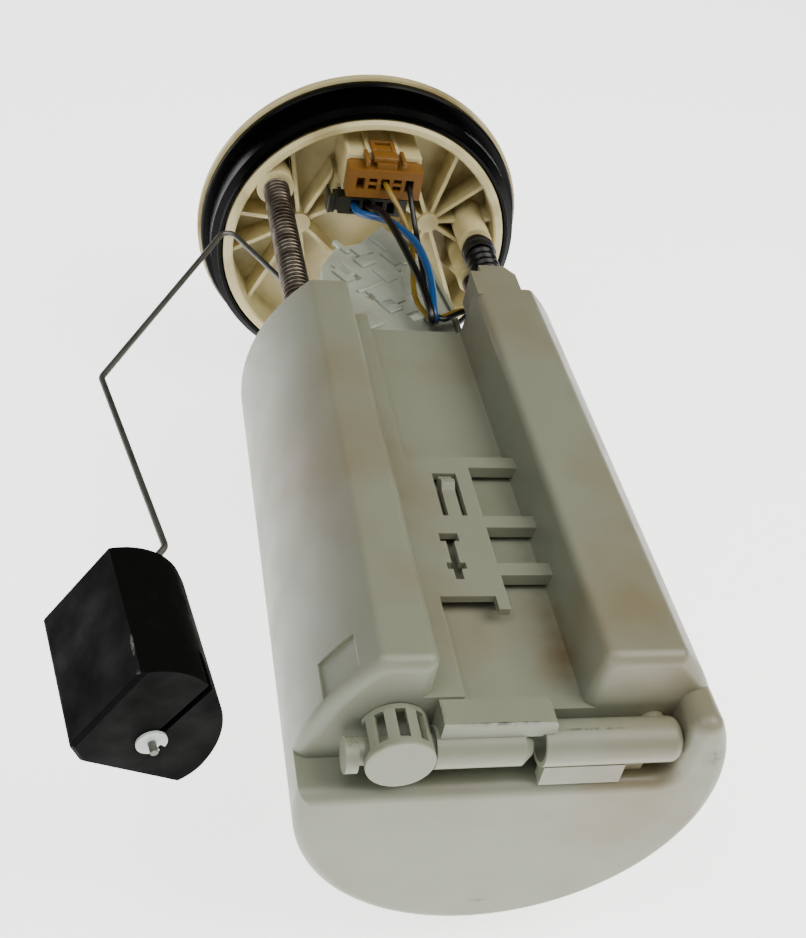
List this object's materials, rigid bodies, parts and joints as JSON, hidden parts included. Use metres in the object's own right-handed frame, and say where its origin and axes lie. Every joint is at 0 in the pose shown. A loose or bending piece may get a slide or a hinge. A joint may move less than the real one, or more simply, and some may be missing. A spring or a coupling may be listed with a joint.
{
  "type": "fuel pump module",
  "caption": "In-tank fuel pump module: sealed flange, sprung guide rods, sliding reservoir pot with pump, filter and jet pump, and a level float on a bent wire arm.",
  "frame": {"origin": "on the module axis, in the plane where the seal lip sits on the tank neck", "axes": "+Z out of the tank, -X towards the side where the float lies, -Y the side of the pot with the stepped channel"},
  "size_m": [0.1986, 0.139, 0.3272],
  "materials": {
    "cream_acetal": "moulded cream acetal",
    "black_nitrile": "moulded black nitrile rubber",
    "tinned_brass": "tinned brass",
    "orange_pbt": "moulded orange-brown polyester",
    "black_pbt": "moulded black polyester",
    "ground_steel": "ground steel",
    "spring_steel": "drawn spring wire",
    "arm_steel": "drawn stainless wire",
    "black_nylon": "corrugated black nylon",
    "yellow_lead": "extruded yellow insulation",
    "black_lead": "extruded black insulation",
    "blue_lead": "extruded blue insulation",
    "milky_acetal": "moulded natural acetal",
    "white_acetal": "moulded white acetal",
    "filter_paper": "pleated filter paper",
    "filter_mesh": "woven nylon mesh",
    "ferrite": "sintered ferrite",
    "copper_winding": "enamelled copper winding on laminations",
    "ceramic_card": "printed ceramic card",
    "nitrile_foam": "closed-cell nitrile foam",
    "washer_nylon": "punched white nylon"
  },
  "bodies": {
    "flange": {"tank_flange": "cream_acetal", "flange_seal": "black_nitrile", "terminal_pins": "tinned_brass", "pump_plug": "orange_pbt", "sender_plug": "black_pbt", "guide_rod_left": "ground_steel", "guide_rod_right": "ground_steel", "rod_clips": "spring_steel", "spring_left": "spring_steel", "spring_right": "spring_steel", "fuel_hose": "black_nylon", "hose_clip_upper": "ground_steel", "wire_yellow": "yellow_lead", "wire_black_pump": "black_lead", "wire_blue": "blue_lead", "wire_black_sender": "black_lead"},
    "pot": {"hose_clip_lower": "ground_steel", "reservoir_pot": "milky_acetal", "head_cover": "white_acetal", "head_side_plate": "milky_acetal", "filter_case": "white_acetal", "filter_element": "filter_paper", "filter_lid": "white_acetal", "regulator_body": "ground_steel", "regulator_spring": "spring_steel", "pump_case": "ground_steel", "pump_inlet_cap": "black_pbt", "pump_outlet_cap": "black_pbt", "pump_seal": "black_nitrile", "pump_cushion": "black_nitrile", "inlet_strainer": "filter_mesh", "pump_magnets": "ferrite", "jet_filter_cap": "milky_acetal", "jet_barrel": "milky_acetal", "jet_clamp": "milky_acetal", "mixing_tube": "milky_acetal", "sender_frame": "white_acetal", "resistor_card": "ceramic_card"},
    "pump_rotor": {"impeller": "black_pbt", "armature": "copper_winding", "rotor_shaft": "ground_steel"},
    "sender_arm": {"sender_rotor": "white_acetal", "wiper_contacts": "tinned_brass", "float_arm": "arm_steel", "float_body": "nitrile_foam", "float_washer": "washer_nylon"},
    "regulator_poppet": {"regulator_valve": "ground_steel"}
  },
  "joints": [
    {"name": "pot_slide", "type": "slide", "parent": "flange", "child": "pot", "axis": [0, 0, 1], "range_m": [0, 0.01], "stiffness_N_per_m": 400, "springref_m": -0.03, "deforming": ["spring_left", "spring_right", "fuel_hose", "wire_yellow", "wire_black_pump", "wire_blue", "wire_black_sender"]},
    {"name": "arm_pivot", "type": "hinge", "parent": "pot", "child": "sender_arm", "pos_m": [-0.029, -0.0195, -0.0976], "axis": [0, 1, 0], "range_deg": [0, 60]},
    {"name": "rotor_spin", "type": "hinge", "parent": "pot", "child": "pump_rotor", "pos_m": [0, 0.014, -0.2], "axis": [0, 0, 1], "continuous": true},
    {"name": "regulator_lift", "type": "slide", "parent": "pot", "child": "regulator_poppet", "axis": [0, 0, 1], "range_m": [0, 0.0012], "stiffness_N_per_m": 800, "springref_m": -0.002, "deforming": ["regulator_spring"]}
  ]
}
